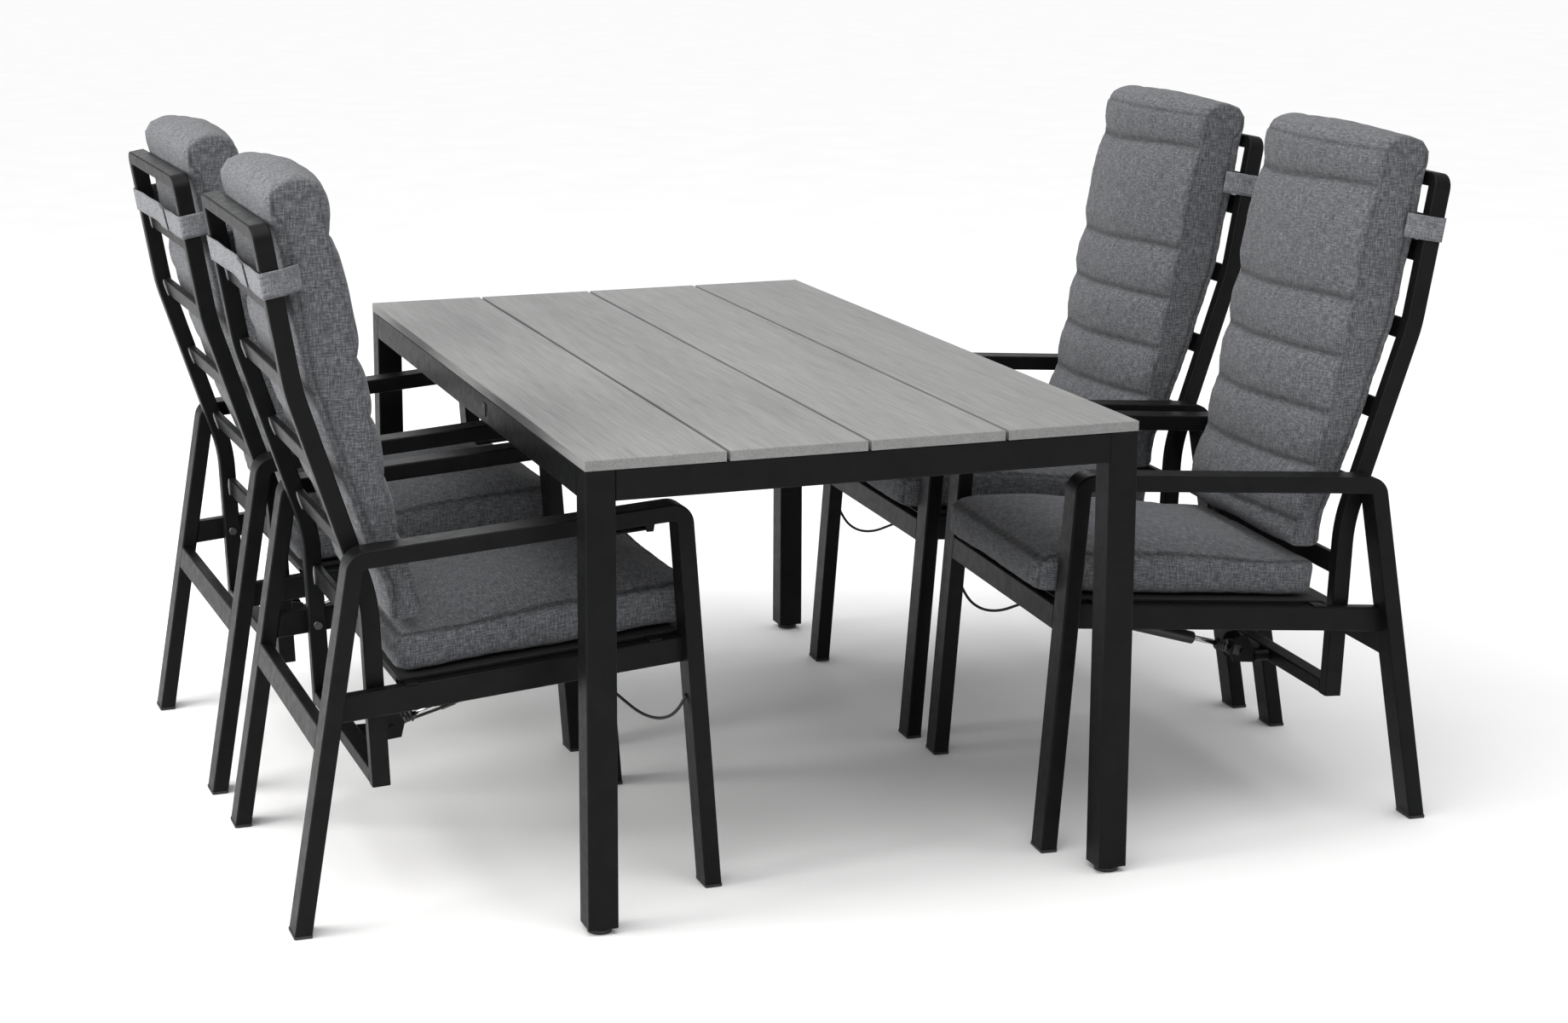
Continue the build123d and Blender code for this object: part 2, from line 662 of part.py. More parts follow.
inner_x = table_width / 2 - leg_size
inner_y_table = table_length / 2 - leg_size
bolt_z = top_under - apron_height / 2
legs = []
for x, y in leg_centres:
    leg = tube_run((x, y, foot_height), (x, y, top_under), (1, 0, 0), leg_size, leg_size, table_wall)
    inwards = Vector(table_centre_x - x, 0, 0).normalized() + Vector(0, -y, 0).normalized()
    corner = Vector(x, y, bolt_z) + inwards * leg_size / 2
    legs.append(drilled(leg, corner, inwards, corner_bolt_radius + 0.3, 30))
table_legs = group(legs)

rail_z = top_under - apron_height / 2
rails = []
for side in (-1, 1):
    x = table_centre_x + side * (table_width - apron_depth) / 2
    y = side * (table_length - apron_depth) / 2
    rails.append(tube_run((x, -inner_y_table, rail_z), (x, inner_y_table, rail_z), (1, 0, 0),
                          apron_depth, apron_height, table_wall))
    rails.append(tube_run((table_centre_x - inner_x, y, rail_z), (table_centre_x + inner_x, y, rail_z), (0, 1, 0),
                          apron_depth, apron_height, table_wall))
bearer_half = table_width / 2 - apron_depth
bearer_z = top_under - bearer_size / 2
for y in bearer_rows:
    with BuildPart() as bearer:
        add(tube_run((table_centre_x - bearer_half, y, bearer_z), (table_centre_x + bearer_half, y, bearer_z),
                     (0, 1, 0), bearer_size, bearer_size, table_wall))
        with Locations(*[(sx, sy, bearer_z) for sx, sy in screw_spots if sy == y]):
            Cylinder(screw_radius + 0.1, bearer_size + 2, mode=Mode.SUBTRACT)
    rails.append(bearer.part)
table_rails = group(rails)

plugs = []
feet = []
plug_half = leg_size - 2 * table_wall - 0.2
for x, y in leg_centres:
    with BuildPart() as plug:
        with BuildSketch(Plane.XY.offset(foot_height)):
            with Locations((x, y)):
                RectangleRounded(plug_half, plug_half, 1)
        extrude(amount=plug_depth)
        with Locations((x, y, foot_height)):
            Cylinder(foot_stem_radius, plug_depth, align=(Align.CENTER, Align.CENTER, Align.MIN), mode=Mode.SUBTRACT)
    plugs.append(plug.part)
    with BuildPart() as foot:
        with BuildSketch():
            with Locations((x, y)):
                Circle(foot_radius)
        extrude(amount=foot_height - 2.5)
        fillet(foot.faces().sort_by(Axis.Z)[-1].edges(), 2)
        with Locations((x, y, foot_height - 2.5)):
            Cylinder(foot_stem_radius, 32, align=(Align.CENTER, Align.CENTER, Align.MIN))
    feet.append(foot.part)
leg_plugs = group(plugs)
levelling_feet = group(feet)

brackets = []
fasteners = []
for x, y in leg_centres:
    sx = 1 if x < table_centre_x else -1
    sy = 1 if y < 0 else -1
    wall_x = table_centre_x - sx * (table_width / 2 - apron_depth)
    wall_y = -sy * (table_length / 2 - apron_depth)
    reach = bracket_reach
    with BuildPart() as bracket:
        with BuildSketch(Plane.XY.offset(bolt_z - bracket_height / 2)):
            Polygon((wall_x, wall_y + sy * reach), (wall_x, wall_y + sy * (reach + 22)),
                    (wall_x + sx * bracket_thickness, wall_y + sy * (reach + 22)),
                    (wall_x + sx * bracket_thickness, wall_y + sy * (reach + 1)),
                    (wall_x + sx * (reach + 1), wall_y + sy * bracket_thickness),
                    (wall_x + sx * (reach + 22), wall_y + sy * bracket_thickness),
                    (wall_x + sx * (reach + 22), wall_y), (wall_x + sx * reach, wall_y), align=None)
        extrude(amount=bracket_height)
    middle = Vector(wall_x + sx * (reach + 3) / 2, wall_y + sy * (reach + 3) / 2, bolt_z)
    inwards = Vector(sx, sy, 0).normalized()
    leg_corner = Vector(x + sx * leg_size / 2, y + sy * leg_size / 2, bolt_z)
    brackets.append(drilled(bracket.part, middle, inwards, corner_bolt_radius + 0.3, 20))
    bolt_start = leg_corner - inwards * 12
    with BuildPart() as corner_bolt:
        with BuildSketch(Plane(origin=bolt_start, z_dir=inwards)):
            Circle(corner_bolt_radius)
        extrude(amount=(middle - bolt_start).length + 4)
        with BuildSketch(Plane(origin=middle + inwards * 4, z_dir=inwards)):
            RegularPolygon(8, 6)
        extrude(amount=6)
    fasteners.append(corner_bolt.part)
corner_brackets = group(brackets)

for x, y in screw_spots:
    with BuildPart() as screw:
        with Locations((x, y, top_under - bearer_size)):
            Cylinder(screw_radius, bearer_size + screw_bite, align=(Align.CENTER, Align.CENTER, Align.MIN))
            Cylinder(screw_head_radius, screw_head_height, align=(Align.CENTER, Align.CENTER, Align.MAX))
    fasteners.append(screw.part)
table_fasteners = group(fasteners)

with BuildPart() as blank_badge:
    with BuildSketch(Plane(origin=(table_centre_x - table_width / 2, badge_along, rail_z), x_dir=(0, 1, 0), z_dir=(-1, 0, 0))):
        RectangleRounded(badge_size, badge_size, 2)
    extrude(amount=1.2)

# ---- files ----
table_nodes = {
    "table_planks": table_planks,
    "table_legs": table_legs,
    "table_rails": table_rails,
    "leg_plugs": leg_plugs,
    "levelling_feet": levelling_feet,
    "corner_brackets": corner_brackets,
    "table_fasteners": table_fasteners,
    "blank_badge": blank_badge.part,
}
chair_nodes = {
    "frame": chair_frame,
    "foot_caps": foot_caps,
    "seat_frame": seat_frame,
    "seat_sling": seat_sling.part,
    "seat_cushion": seat_cushion.part,
    "back_frame": back_frame,
    "pivot_bolts": pivot_bolts,
    "gas_cylinder": gas_cylinder.part,
    "gas_rod": gas_rod.part,
    "release_lever": release_lever.part,
    "release_cable": release_cable,
    "back_cushion": back_cushion.part,
    "back_strap": back_strap.part,
}
for name, shape in table_nodes.items():
    shape.label = name
    export_step(shape, f"parts/{name}.step")
for chair, (x, y, heading) in chairs.items():
    place = Location((table_centre_x + x, y, 0), (0, 0, heading))
    for name, shape in chair_nodes.items():
        node = shape.moved(place)
        node.label = f"{chair}_{name}"
        export_step(node, f"parts/{node.label}.step")
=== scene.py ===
import json
from math import atan2, cos, pi, radians, sin

import bmesh
import bpy
import numpy as np
from mathutils import Matrix, Vector, noise


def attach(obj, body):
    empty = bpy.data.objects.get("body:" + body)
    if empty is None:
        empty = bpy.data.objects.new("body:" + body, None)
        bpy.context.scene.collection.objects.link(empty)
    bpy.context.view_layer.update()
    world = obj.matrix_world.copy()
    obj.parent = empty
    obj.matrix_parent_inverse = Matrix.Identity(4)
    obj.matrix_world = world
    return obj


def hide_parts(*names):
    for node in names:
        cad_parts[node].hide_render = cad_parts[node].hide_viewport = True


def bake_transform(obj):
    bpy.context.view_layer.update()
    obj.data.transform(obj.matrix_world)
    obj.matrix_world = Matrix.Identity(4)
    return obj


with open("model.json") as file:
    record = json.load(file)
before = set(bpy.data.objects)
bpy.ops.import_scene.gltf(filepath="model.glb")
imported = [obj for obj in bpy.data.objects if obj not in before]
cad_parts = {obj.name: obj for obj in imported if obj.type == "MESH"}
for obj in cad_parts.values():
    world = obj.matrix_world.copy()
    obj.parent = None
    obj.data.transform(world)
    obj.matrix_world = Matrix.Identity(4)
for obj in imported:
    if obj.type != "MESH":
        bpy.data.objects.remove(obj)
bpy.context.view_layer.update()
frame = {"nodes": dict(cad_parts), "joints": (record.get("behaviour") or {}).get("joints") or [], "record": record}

print("frame loaded")

# where each chair stands: forward is the chair's own +X, sitter's left is +Y
chairs = ["left_near", "left_far", "right_near", "right_far"]
joints = {joint["name"]: joint for joint in frame["joints"]}
reclineBolt = Vector((-0.199, 0, 0.350))


def chairPlace(chair):
    joint = joints[chair + "_recline"]
    turn = Matrix.Rotation(atan2(joint["axis"][0], -joint["axis"][1]), 4, "Z")
    return Matrix.Translation(Vector(joint["pos_m"]) - turn @ reclineBolt) @ turn


places = {chair: chairPlace(chair) for chair in chairs}


# camera, floor and lights
view = {
    "place": (-1.611, -4.445, 1.615),
    "heading": 15.94,  # degrees, from +Y towards +X
    "tilt": -10.24,
    "roll": -0.56,
    "lens": 61.73,
    "shift": (0.1386, -0.1087),
}


def makeCamera():
    heading, tilt, roll = (radians(view[key]) for key in ("heading", "tilt", "roll"))
    ahead = Vector((sin(heading) * cos(tilt), cos(heading) * cos(tilt), sin(tilt)))
    right = Vector((cos(heading), -sin(heading), 0))
    up = right.cross(ahead)
    rolledRight = cos(roll) * right + sin(roll) * up
    rolledUp = cos(roll) * up - sin(roll) * right
    turn = Matrix((rolledRight, rolledUp, -ahead)).transposed().to_4x4()
    data = bpy.data.cameras.new("camera")
    data.lens = view["lens"]
    data.sensor_width = 36
    data.shift_x, data.shift_y = view["shift"]
    data.clip_end = 200
    camera = bpy.data.objects.new("camera", data)
    camera.matrix_world = Matrix.Translation(view["place"]) @ turn
    bpy.context.scene.collection.objects.link(camera)
    bpy.context.scene.camera = camera


def areaLight(name, place, target, size, power, colour):
    data = bpy.data.lights.new(name, "AREA")
    data.shape = "RECTANGLE"
    data.size, data.size_y = size
    data.energy = power
    data.color = colour
    light = bpy.data.objects.new(name, data)
    light.location = place
    light.rotation_euler = (Vector(target) - Vector(place)).to_track_quat("-Z", "Y").to_euler()
    bpy.context.scene.collection.objects.link(light)


studio = {
    "world": 0.5,
    "floor": 0.9,
    "lights": {  # place, target, size, watts, colour
        "left_window": ((-3.5, -0.1, 1.9), (0, 0, 0.7), (2.4, 2.2), 115, (1, 0.99, 0.97)),
        "overhead": ((-0.5, -1.5, 3.6), (-0.2, -0.3, 0.6), (3.0, 2.4), 40, (1, 0.99, 0.98)),
        "far_side": ((0.8, 4.2, 2.6), (0.2, 0, 0.6), (3.5, 2.0), 30, (0.98, 0.99, 1)),
    },
    "sky": 1.95,
}


def makeStudio():
    bm = bmesh.new()
    bmesh.ops.create_grid(bm, x_segments=1, y_segments=1, size=60)
    mesh = bpy.data.meshes.new("floor")
    bm.to_mesh(mesh)
    bm.free()
    floor = bpy.data.objects.new("floor", mesh)
    bpy.context.scene.collection.objects.link(floor)
    mesh.materials.append(floorPaint())
    world = bpy.data.worlds.new("studio")
    world.use_nodes = True
    world.node_tree.nodes["Background"].inputs["Color"].default_value = (1, 1, 1, 1)
    world.node_tree.nodes["Background"].inputs["Strength"].default_value = studio["world"]
    bpy.context.scene.world = world
    bpy.context.scene.view_settings.view_transform = "Standard"
    for name, light in studio["lights"].items():
        areaLight(name, *light)
    sky = bpy.data.lights.new("sky", "SUN")
    sky.energy = studio["sky"]
    sky.angle = radians(100)
    light = bpy.data.objects.new("sky", sky)
    light.rotation_euler = (radians(10), radians(-14), 0)
    bpy.context.scene.collection.objects.link(light)


# materials
class Finish:
    def __init__(self, name):
        self.material = bpy.data.materials.new(name)
        self.material.use_nodes = True
        self.nodes = self.material.node_tree.nodes
        self.links = self.material.node_tree.links
        self.shader = self.nodes["Principled BSDF"]

    def add(self, kind, **values):
        made = self.nodes.new(kind)
        for key, value in values.items():
            if hasattr(made, key):
                setattr(made, key, value)
            else:
                made.inputs[key.replace("_", " ").title()].default_value = value
        return made

    def join(self, source, target):
        self.links.new(source, target)

    def coordinates(self, scale, kind="Object"):
        where = self.add("ShaderNodeTexCoord")
        mapping = self.add("ShaderNodeMapping")
        mapping.inputs["Scale"].default_value = scale
        self.join(where.outputs[kind], mapping.inputs["Vector"])
        return mapping.outputs["Vector"]

    def noise(self, where, scale=1.0, detail=2.0, roughness=0.5):
        texture = self.add("ShaderNodeTexNoise")
        texture.inputs["Scale"].default_value = scale
        texture.inputs["Detail"].default_value = detail
        texture.inputs["Roughness"].default_value = roughness
        self.join(where, texture.inputs["Vector"])
        return texture.outputs["Fac"]

    def ramp(self, value, stops):
        ramp = self.add("ShaderNodeValToRGB")
        while len(ramp.color_ramp.elements) < len(stops):
            ramp.color_ramp.elements.new(0.5)
        for element, (place, colour) in zip(ramp.color_ramp.elements, stops):
            element.position = place
            element.color = (*colour, 1) if hasattr(colour, "__len__") else (colour, colour, colour, 1)
        self.join(value, ramp.inputs["Fac"])
        return ramp.outputs["Color"]

    def maths(self, kind, first, second):
        made = self.add("ShaderNodeMath", operation=kind)
        for socket, value in zip(made.inputs, (first, second)):
            if hasattr(value, "is_output"):
                self.join(value, socket)
            else:
                socket.default_value = value
        return made.outputs[0]

    def blendColours(self, factor, first, second, kind="MIX"):
        made = self.add("ShaderNodeMix", data_type="RGBA", blend_type=kind)
        for socket, value in zip((made.inputs[0], made.inputs[6], made.inputs[7]), (factor, first, second)):
            if hasattr(value, "is_output"):
                self.join(value, socket)
            else:
                socket.default_value = value
        return made.outputs[2]

    def bump(self, height, strength, distance):
        bump = self.add("ShaderNodeBump")
        bump.inputs["Strength"].default_value = strength
        bump.inputs["Distance"].default_value = distance
        self.join(height, bump.inputs["Height"])
        self.join(bump.outputs["Normal"], self.shader.inputs["Normal"])


def floorPaint():
    paint = Finish("pale floor")
    where = paint.coordinates((1, 1, 1))
    tone = paint.ramp(paint.noise(where, 3, 3), [(0.3, studio["floor"] - 0.01), (0.7, studio["floor"] + 0.01)])
    paint.join(tone, paint.shader.inputs["Base Color"])
    paint.shader.inputs["Roughness"].default_value = 0.9
    paint.shader.inputs["Specular IOR Level"].default_value = 0.1
    return paint.material


def powderCoat(name, dark, light, roughness=0.4):
    coat = Finish(name)
    where = coat.coordinates((1, 1, 1))
    mottle = coat.noise(where, 26, 3)
    coat.join(coat.ramp(mottle, [(0.3, dark), (0.75, light)]), coat.shader.inputs["Base Color"])
    grit = coat.noise(where, 900, 2, 0.6)
    rough = coat.ramp(coat.noise(where, 60, 4), [(0.3, roughness - 0.04), (0.8, roughness + 0.08)])
    coat.join(rough, coat.shader.inputs["Roughness"])
    coat.shader.inputs["Specular IOR Level"].default_value = 0.1
    coat.bump(grit, 0.2, 0.0004)
    return coat.material


def greyPlank():
    plank = Finish("grey plank")
    fine = plank.noise(plank.coordinates((420, 9, 420)), 1, 3, 0.62)
    streak = plank.noise(plank.coordinates((60, 1.6, 60)), 1, 4, 0.6)
    broad = plank.noise(plank.coordinates((5, 0.9, 5)), 1, 2)
    grain = plank.maths("ADD", plank.maths("MULTIPLY", fine, 0.7), plank.maths("MULTIPLY", streak, 0.3))
    colour = plank.ramp(grain, [(0.34, (0.185, 0.185, 0.184)), (0.5, (0.232, 0.232, 0.230)),
                                (0.68, (0.285, 0.285, 0.283))])
    tone = plank.ramp(broad, [(0.3, 0.86), (0.7, 1.0)])
    colour = plank.blendColours(1.0, colour, tone, "MULTIPLY")
    plank.join(colour, plank.shader.inputs["Base Color"])
    plank.shader.inputs["Roughness"].default_value = 0.65
    plank.shader.inputs["Specular IOR Level"].default_value = 0.15
    plank.bump(grain, 0.35, 0.0006)
    return plank.material


def melangeCloth(name, dark, mid, light):
    cloth = Finish(name)
    where = cloth.coordinates((1, 1, 1), "UV")
    warp = cloth.noise(cloth.coordinates((440, 60, 1), "UV"), 1, 2.5, 0.62)
    weft = cloth.noise(cloth.coordinates((60, 440, 1), "UV"), 1, 2.5, 0.62)
    fleck = cloth.noise(where, 560, 3, 0.7)
    patch = cloth.noise(where, 26, 3, 0.55)
    yarn = cloth.maths("ADD", cloth.maths("MULTIPLY", warp, 0.36), cloth.maths("MULTIPLY", weft, 0.36))
    yarn = cloth.maths("ADD", yarn, cloth.maths("MULTIPLY", fleck, 0.28))
    colour = cloth.ramp(yarn, [(0.38, dark), (0.49, mid), (0.62, light)])
    tone = cloth.ramp(patch, [(0.25, 0.9), (0.75, 1.04)])
    colour = cloth.blendColours(1.0, colour, tone, "MULTIPLY")
    # painted shade: the sewn attribute darkens the cloth colour along seams, hems and creases, standing in for the
    # shade in their grooves
    sewn_and_shaded = cloth.add("ShaderNodeAttribute", attribute_name="sewn_and_shaded")
    shade = cloth.ramp(sewn_and_shaded.outputs["Fac"], [(0.0, 1.0), (1.0, 0.45)])
    colour = cloth.blendColours(1.0, colour, shade, "MULTIPLY")
    cloth.join(colour, cloth.shader.inputs["Base Color"])
    cloth.shader.inputs["Roughness"].default_value = 0.9
    cloth.shader.inputs["Specular IOR Level"].default_value = 0.25
    cloth.shader.inputs["Sheen Weight"].default_value = 0.12
    cloth.shader.inputs["Sheen Roughness"].default_value = 0.5
    apart = cloth.add("ShaderNodeSeparateXYZ")
    cloth.join(where, apart.inputs[0])
    across = cloth.maths("SINE", cloth.maths("MULTIPLY", apart.outputs["X"], 2 * pi / 0.0016), 0)
    along = cloth.maths("SINE", cloth.maths("MULTIPLY", apart.outputs["Y"], 2 * pi / 0.0016), 0)
    weave = cloth.maths("MULTIPLY", cloth.maths("MULTIPLY", across, along), 0.35)
    cloth.bump(cloth.maths("ADD", weave, yarn), 0.55, 0.0007)
    return cloth.material


def slingMesh():
    sling = Finish("black sling")
    where = sling.coordinates((1, 1, 1))
    weave = sling.noise(where, 700, 2)
    sling.join(sling.ramp(weave, [(0.35, 0.006), (0.65, 0.02)]), sling.shader.inputs["Base Color"])
    sling.shader.inputs["Roughness"].default_value = 0.7
    sling.bump(weave, 0.4, 0.0005)
    return sling.material


def mouldedPlastic(name, tone, roughness):
    plastic = Finish(name)
    where = plastic.coordinates((1, 1, 1))
    plastic.join(plastic.ramp(plastic.noise(where, 40, 3), [(0.3, tone * 0.8), (0.7, tone * 1.2)]),
                 plastic.shader.inputs["Base Color"])
    plastic.shader.inputs["Roughness"].default_value = roughness
    plastic.bump(plastic.noise(where, 1200, 2), 0.15, 0.0002)
    return plastic.material


def brightSteel(name, tone, roughness):
    steel = Finish(name)
    steel.shader.inputs["Metallic"].default_value = 1
    where = steel.coordinates((1, 1, 1))
    steel.join(steel.ramp(steel.noise(where, 90, 3), [(0.3, tone * 0.85), (0.7, tone)]),
               steel.shader.inputs["Base Color"])
    steel.join(steel.ramp(steel.noise(where, 300, 2), [(0.3, roughness), (0.7, roughness + 0.1)]),
               steel.shader.inputs["Roughness"])
    return steel.material


finishes = {
    "frame_metal": powderCoat("anthracite powder coat", (0.0045, 0.0047, 0.0049), (0.0072, 0.0074, 0.0077)),
    "table_metal": powderCoat("table powder coat", (0.0042, 0.0044, 0.0046), (0.0068, 0.0070, 0.0073)),
    "plank": greyPlank(),
    "cushion_fabric": melangeCloth("melange cloth", (0.032, 0.0335, 0.0375), (0.083, 0.0855, 0.093),
                                   (0.205, 0.21, 0.224)),
    "strap_fabric": melangeCloth("strap cloth", (0.05, 0.052, 0.057), (0.13, 0.134, 0.144),
                                 (0.27, 0.276, 0.292)),
    "sling_fabric": slingMesh(),
    "black_plastic": mouldedPlastic("black plastic", 0.013, 0.5),
    "cable_jacket": mouldedPlastic("cable jacket", 0.01, 0.42),
    "black_cylinder": mouldedPlastic("cylinder enamel", 0.012, 0.28),
    "polished_rod": brightSteel("polished rod", 0.62, 0.14),
    "fastener_steel": brightSteel("blackened steel", 0.09, 0.35),
    "badge_plate": brightSteel("satin plate", 0.05, 0.4),
    # the weld finish is far lighter than the frame coat: a painted highlight on the weld beads
    "weld": powderCoat("weld bead painted highlight", (0.16, 0.16, 0.165), (0.24, 0.24, 0.245), 0.3),
    "label": mouldedPlastic("blank label", 0.62, 0.5),
}
for part in frame["record"]["subparts"]:
    node = frame["nodes"][part["node"]]
    node.data.materials.clear()
    node.data.materials.append(finishes[part["material_slot"]])
print("materials ready")


# making pieces
def toObject(bm, name):
    mesh = bpy.data.meshes.new(name)
    bm.to_mesh(mesh)
    bm.free()
    piece = bpy.data.objects.new(name, mesh)
    bpy.context.scene.collection.objects.link(piece)
    return piece


def roundEdges(bm, edges, offset, segments):
    bmesh.ops.bevel(bm, geom=edges, offset=offset, segments=segments, affect="EDGES", profile=0.5, material=-1)


def bake(piece):
    shown = piece.evaluated_get(bpy.context.evaluated_depsgraph_get())
    mesh = bpy.data.meshes.new_from_object(shown)
    piece.modifiers.clear()
    piece.data = mesh


def points(mesh):
    flat = np.zeros(len(mesh.vertices) * 3)
    mesh.vertices.foreach_get("co", flat)
    return flat.reshape(-1, 3)


def normals(mesh):
    flat = np.zeros(len(mesh.vertices) * 3)
    mesh.vertices.foreach_get("normal", flat)
    return flat.reshape(-1, 3)


def setPoints(mesh, where):
    mesh.vertices.foreach_set("co", where.astype(np.float32).ravel())
    mesh.update()


def smoothShade(piece):
    piece.data.polygons.foreach_set("use_smooth", [True] * len(piece.data.polygons))


def remesh(piece, size):
    modifier = piece.modifiers.new("Remesh", "REMESH")
    modifier.mode = "VOXEL"
    modifier.voxel_size = size
    bake(piece)


def puff(piece, held, pressure, cap):
    start = points(piece.data)
    group = piece.vertex_groups.new(name="held")
    group.add([int(index) for index in np.nonzero(held)[0]], 1.0, "ADD")
    cloth = piece.modifiers.new("Cloth", "CLOTH")
    cloth.settings.quality = 4
    cloth.settings.use_pressure = True
    cloth.settings.uniform_pressure_force = pressure
    cloth.settings.effector_weights.gravity = 0
    cloth.settings.vertex_group_mass = "held"
    cloth.collision_settings.use_collision = False
    scene = bpy.context.scene
    for step in range(1, 21):
        scene.frame_set(step)
    bake(piece)
    piece.vertex_groups.clear()
    scene.frame_set(1)
    move = points(piece.data) - start
    length = np.linalg.norm(move, axis=1, keepdims=True)
    setPoints(piece.data, start + move * np.minimum(1, cap / np.maximum(length, 1e-9)))


def subdivide(piece):
    modifier = piece.modifiers.new("Subdivision", "SUBSURF")
    modifier.levels = modifier.render_levels = 1
    bake(piece)


def clothUv(piece):
    mesh = piece.data
    layer = mesh.uv_layers.new(name="threads")
    where = points(mesh)
    corners = np.zeros(len(mesh.loops), int)
    mesh.loops.foreach_get("vertex_index", corners)
    facing = np.zeros(len(mesh.polygons) * 3)
    mesh.polygons.foreach_get("normal", facing)
    facing = np.abs(facing.reshape(-1, 3))
    counts = np.zeros(len(mesh.polygons), int)
    mesh.polygons.foreach_get("loop_total", counts)
    axis = np.repeat(facing.argmax(axis=1), counts)
    at = where[corners]
    fromSide = np.where((axis == 1)[:, None], at[:, [0, 2]], at[:, [0, 1]])
    flat = np.where((axis == 0)[:, None], at[:, [1, 2]], fromSide)
    layer.data.foreach_set("uv", flat.astype(np.float32).ravel())


# stores how much painted seam and crease shade the cloth material darkens each point by
def markPaintedSeamShade(mesh, amount):
    attribute = mesh.attributes.new("sewn_and_shaded", "FLOAT", "POINT")
    attribute.data.foreach_set("value", amount.astype(np.float32))


def smoothStep(low, high, value):
    t = np.clip((value - low) / (high - low), 0, 1)
    return t * t * (3 - 2 * t)


def lumps(where, scale, seed):
    return np.array([noise.noise(Vector(p) * scale + Vector((seed, seed * 0.7, -seed))) for p in where])


def dress(piece, slot, body):
    piece.data.materials.clear()
    piece.data.materials.append(finishes[slot])
    if body:
        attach(piece, body)


# seat cushion, lying on the sling: x along the seat, z up from the rails
seat = {
    "pitch": radians(4.57),
    "railTop": 0.3876,
    "back": -0.160,
    "front": 0.341,
    "halfWidth": 0.215,
    "under": 0.009,
    "shoulder": 0.067,
    "frontRise": 0.008,
    "crown": 0.024,
    "waterfall": 0.012,
    "corner": 0.032,
    "voxel": 0.006,
    "pressure": 4.0,
    "cap": 0.022,
    "widest": 0.2265,
    "furthest": 0.3525,
}
seatPlace = Matrix.Translation((0, 0, seat["railTop"])) @ Matrix.Rotation(-seat["pitch"], 4, "Y")


def seatEdge(where):
    return np.minimum(seat["halfWidth"] - np.abs(where[:, 1]),
                      np.minimum(where[:, 0] - seat["back"], seat["front"] - where[:, 0]))


def makeSeat():
    bm = bmesh.new()
    bmesh.ops.create_cube(bm, size=1)
    length = seat["front"] - seat["back"]
    height = seat["shoulder"] - seat["under"]
    middle = ((seat["front"] + seat["back"]) / 2, 0, (seat["shoulder"] + seat["under"]) / 2)
    bmesh.ops.scale(bm, vec=(length, 2 * seat["halfWidth"], height), verts=bm.verts)
    bmesh.ops.translate(bm, vec=middle, verts=bm.verts)
    upright = [edge for edge in bm.edges if abs((edge.verts[0].co - edge.verts[1].co).z) > 0.01]
    roundEdges(bm, upright, seat["corner"], 6)
    roundEdges(bm, list(bm.edges), 0.008, 2)
    piece = toObject(bm, "seat_cushion_form")
    remesh(piece, seat["voxel"])
    where = points(piece.data)
    edge = seatEdge(where)
    high = np.clip((where[:, 2] - seat["under"]) / height, 0, 1)
    atShoulder = (np.abs(where[:, 2] - seat["shoulder"]) < 0.007) & (edge < 0.008)
    atUnder = (np.abs(where[:, 2] - seat["under"]) < 0.005) & (edge < 0.012)
    flatUnder = (where[:, 2] < seat["under"] + 0.004) & (edge > 0.03)
    rise = smoothStep(0.0, 0.12, edge) * smoothStep(-0.13, 0.0, where[:, 0])
    drop = smoothStep(seat["front"] - 0.06, seat["front"], where[:, 0]) * smoothStep(0.5, 1, high)
    lift = seat["frontRise"] * smoothStep(-0.08, 0.12, where[:, 0]) + seat["crown"] * rise * (high > 0.8)
    where[:, 2] += high * lift
    where[:, 2] -= seat["waterfall"] * drop ** 2
    setPoints(piece.data, where)
    puff(piece, atShoulder | atUnder | flatUnder, seat["pressure"], seat["cap"])
    subdivide(piece)
    where = points(piece.data)
    out = normals(piece.data)
    edge = seatEdge(where)
    shoulder = seat["shoulder"] + seat["frontRise"] * smoothStep(-0.08, 0.12, where[:, 0])
    shoulder -= seat["waterfall"] * smoothStep(seat["front"] - 0.06, seat["front"], where[:, 0]) ** 2
    # seam lines along the shoulder, lower edge and front corners: they sink the seam grooves and also set the painted
    # shade in them
    sewn_and_shaded = np.exp(-((where[:, 2] - shoulder) / 0.0032) ** 2) * (edge < 0.014)
    lowSeam = np.exp(-((where[:, 2] - seat["under"] - 0.002) / 0.003) ** 2) * (edge < 0.012)
    sewn_and_shaded = np.maximum(sewn_and_shaded, lowSeam * 0.6)
    corner = np.exp(-((np.abs(where[:, 1]) - seat["halfWidth"] + 0.012) / 0.0028) ** 2) * smoothStep(
        seat["front"] - 0.012, seat["front"] - 0.004, where[:, 0])
    sewn_and_shaded = np.maximum(sewn_and_shaded, corner * 0.8)
    pucker = 0.5 + 0.5 * np.sin(where[:, 0] * 310 + where[:, 1] * 270 + 2 * lumps(where, 14, 3.1))
    where -= out * (0.0024 * sewn_and_shaded * (0.7 + 0.6 * pucker))[:, None]
    where += out * (0.0024 * lumps(where, 11, 1.7) + 0.0011 * lumps(where, 34, 5.2))[:, None]
    where[:, 1] = np.clip(where[:, 1], -seat["widest"], seat["widest"])
    where[:, 0] = np.minimum(where[:, 0], seat["furthest"])
    where[:, 2] = np.maximum(where[:, 2], 0.0056)
    where[:, 2] = np.minimum(where[:, 2], np.interp(where[:, 0], [-0.2, -0.10, -0.04], [0.0725, 0.0725, 0.2]))
    setPoints(piece.data, where)
    # painted shade along the seat's seams
    markPaintedSeamShade(piece.data, sewn_and_shaded)
    clothUv(piece)
    smoothShade(piece)
    piece.data.transform(seatPlace)
    return piece


